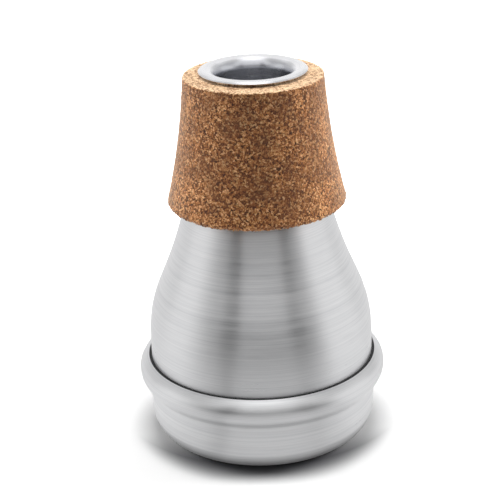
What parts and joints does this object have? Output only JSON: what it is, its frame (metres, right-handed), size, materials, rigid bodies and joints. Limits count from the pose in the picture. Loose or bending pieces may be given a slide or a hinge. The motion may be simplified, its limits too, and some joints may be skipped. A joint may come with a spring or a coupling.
{
  "type": "trumpet practice mute",
  "caption": "Pear-shaped spun aluminium practice mute with a tapered cork collar, a flared mouth tube and a flat base cup whose rolled bead holds the body.",
  "frame": {"origin": "on the mute's axis, at the flat face of the base cup that it stands on", "axes": "+Z along the axis, from the base cup to the mouth; X and Y are level, and the part is the same all round apart from the vents"},
  "size_m": [0.066, 0.066, 0.1],
  "materials": {
    "spun_aluminium": "satin, with fine lines round the axis",
    "bright_aluminium": "bright, turned",
    "cork": "agglomerated cork, sanded",
    "black_rubber": "matte",
    "grey_felt": "felt"
  },
  "bodies": {
    "root": {"body_shell": "spun_aluminium", "base_cup": "spun_aluminium", "mouth_tube": "bright_aluminium", "cork_collar": "cork", "seam_gasket": "black_rubber", "damper_felt": "grey_felt"}
  },
  "joints": []
}
